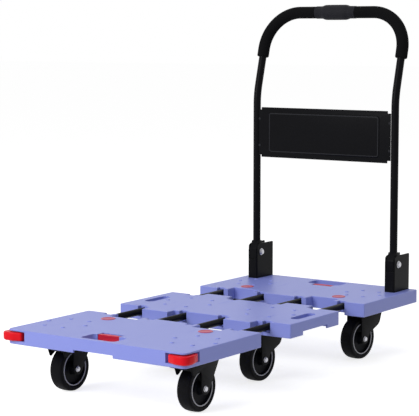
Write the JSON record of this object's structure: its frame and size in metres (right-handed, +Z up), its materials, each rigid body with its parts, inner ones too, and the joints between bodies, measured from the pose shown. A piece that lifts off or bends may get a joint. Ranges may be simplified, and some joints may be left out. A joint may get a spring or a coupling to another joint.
{
  "type": "folding platform trolley",
  "caption": "Telescoping platform trolley: three plastic decks slide on steel tubes over swivel and fixed casters, with a fold-down tube handle at the rear.",
  "frame": {"origin": "middle of the bounding box, on the floor", "axes": "+Z up, +Y from the front deck towards the handle, +X across to the right seen from behind the handle"},
  "size_m": [0.495, 1.005, 0.8544],
  "materials": {
    "deck_plastic": "fine-grained moulded periwinkle blue",
    "red_plastic": "satin red",
    "black_steel": "semi-gloss black powder coat",
    "black_plastic": "matt black",
    "tyre_rubber": "matt black rubber",
    "foam_rubber": "matt black foam",
    "bright_steel": "zinc plated"
  },
  "bodies": {
    "middle": {"mid_deck": "deck_plastic", "slide_tube_outer_left": "black_steel", "slide_tube_inner_left": "black_steel", "slide_tube_inner_right": "black_steel", "slide_tube_outer_right": "black_steel", "mid_left_caster_plate": "bright_steel", "mid_right_caster_plate": "bright_steel"},
    "front": {"front_deck": "deck_plastic", "front_left_plug": "red_plastic", "front_right_plug": "red_plastic", "corner_bumper_left": "red_plastic", "corner_bumper_right": "red_plastic", "front_left_fork": "black_steel", "front_right_fork": "black_steel", "front_left_axle": "bright_steel", "front_right_axle": "bright_steel", "front_latch_spring": "bright_steel"},
    "rear": {"rear_deck": "deck_plastic", "rear_left_plug": "red_plastic", "rear_right_plug": "red_plastic", "handle_bracket_left": "black_steel", "handle_bracket_right": "black_steel", "pivot_bolt_left": "bright_steel", "pivot_bolt_right": "bright_steel", "rear_left_caster_plate": "bright_steel", "rear_right_caster_plate": "bright_steel", "rear_latch_spring": "bright_steel"},
    "handle": {"handle_frame": "black_steel", "foam_sleeve_left": "foam_rubber", "foam_sleeve_right": "foam_rubber", "centre_grip": "black_plastic", "handle_panel": "black_steel"},
    "front_latch": {"front_latch": "red_plastic"},
    "rear_latch": {"rear_latch": "red_plastic"},
    "front_lock_bar": {"front_lock_bar": "bright_steel"},
    "rear_lock_bar": {"rear_lock_bar": "bright_steel"},
    "front_left_wheel": {"front_left_hub": "black_plastic", "front_left_tyre": "tyre_rubber"},
    "front_right_wheel": {"front_right_hub": "black_plastic", "front_right_tyre": "tyre_rubber"},
    "mid_left_swivel": {"mid_left_fork": "black_steel", "mid_left_axle": "bright_steel"},
    "mid_left_wheel": {"mid_left_hub": "black_plastic", "mid_left_tyre": "tyre_rubber"},
    "mid_right_swivel": {"mid_right_fork": "black_steel", "mid_right_axle": "bright_steel"},
    "mid_right_wheel": {"mid_right_hub": "black_plastic", "mid_right_tyre": "tyre_rubber"},
    "rear_left_swivel": {"rear_left_fork": "black_steel", "rear_left_axle": "bright_steel"},
    "rear_left_wheel": {"rear_left_hub": "black_plastic", "rear_left_tyre": "tyre_rubber"},
    "rear_right_swivel": {"rear_right_fork": "black_steel", "rear_right_axle": "bright_steel"},
    "rear_right_wheel": {"rear_right_hub": "black_plastic", "rear_right_tyre": "tyre_rubber"}
  },
  "joints": [
    {"name": "front_extend", "type": "slide", "parent": "middle", "child": "front", "axis": [0, 1, 0], "range_m": [0, 0.114]},
    {"name": "rear_extend", "type": "slide", "parent": "middle", "child": "rear", "axis": [0, -1, 0], "range_m": [0, 0.114]},
    {"name": "handle_fold", "type": "hinge", "parent": "rear", "child": "handle", "pos_m": [0, 0.42729, 0.2183], "axis": [1, 0, 0], "range_deg": [0, 98]},
    {"name": "front_left_roll", "type": "hinge", "parent": "front", "child": "front_left_wheel", "pos_m": [-0.172, -0.36321, 0.05], "axis": [1, 0, 0], "continuous": true},
    {"name": "front_right_roll", "type": "hinge", "parent": "front", "child": "front_right_wheel", "pos_m": [0.172, -0.36321, 0.05], "axis": [1, 0, 0], "continuous": true},
    {"name": "mid_left_swivel", "type": "hinge", "parent": "middle", "child": "mid_left_swivel", "pos_m": [-0.113, -0.00321, 0.1192], "axis": [0, 0, 1], "continuous": true},
    {"name": "mid_left_roll", "type": "hinge", "parent": "mid_left_swivel", "child": "mid_left_wheel", "pos_m": [-0.113, -0.04121, 0.05], "axis": [1, 0, 0], "continuous": true},
    {"name": "mid_right_swivel", "type": "hinge", "parent": "middle", "child": "mid_right_swivel", "pos_m": [0.113, -0.00321, 0.1192], "axis": [0, 0, 1], "continuous": true},
    {"name": "mid_right_roll", "type": "hinge", "parent": "mid_right_swivel", "child": "mid_right_wheel", "pos_m": [0.11101, -0.04115, 0.05], "axis": [0.9986, -0.0523, 0], "continuous": true},
    {"name": "rear_left_swivel", "type": "hinge", "parent": "rear", "child": "rear_left_swivel", "pos_m": [-0.176, 0.34279, 0.1192], "axis": [0, 0, 1], "continuous": true},
    {"name": "rear_left_roll", "type": "hinge", "parent": "rear_left_swivel", "child": "rear_left_wheel", "pos_m": [-0.176, 0.30479, 0.05], "axis": [1, 0, 0], "continuous": true},
    {"name": "rear_right_swivel", "type": "hinge", "parent": "rear", "child": "rear_right_swivel", "pos_m": [0.176, 0.34279, 0.1192], "axis": [0, 0, 1], "continuous": true},
    {"name": "rear_right_roll", "type": "hinge", "parent": "rear_right_swivel", "child": "rear_right_wheel", "pos_m": [0.17203, 0.305, 0.05], "axis": [0.9945, -0.1045, 0], "continuous": true},
    {"name": "front_latch_press", "type": "slide", "parent": "front", "child": "front_latch", "axis": [0, 1, 0], "range_m": [0, 0.008], "stiffness_N_per_m": 400, "springref_m": -0.004, "deforming": ["front_latch_spring"]},
    {"name": "front_lock_drop", "type": "slide", "parent": "front", "child": "front_lock_bar", "axis": [0, 0, -1], "range_m": [0, 0.004]},
    {"name": "rear_latch_press", "type": "slide", "parent": "rear", "child": "rear_latch", "axis": [0, -1, 0], "range_m": [0, 0.008], "stiffness_N_per_m": 400, "springref_m": -0.004, "deforming": ["rear_latch_spring"]},
    {"name": "rear_lock_drop", "type": "slide", "parent": "rear", "child": "rear_lock_bar", "axis": [0, 0, -1], "range_m": [0, 0.004]}
  ],
  "couplings": [
    {"joint": "front_lock_drop", "follows": "front_latch_press", "ratio": 0.5},
    {"joint": "rear_lock_drop", "follows": "rear_latch_press", "ratio": 0.5}
  ]
}
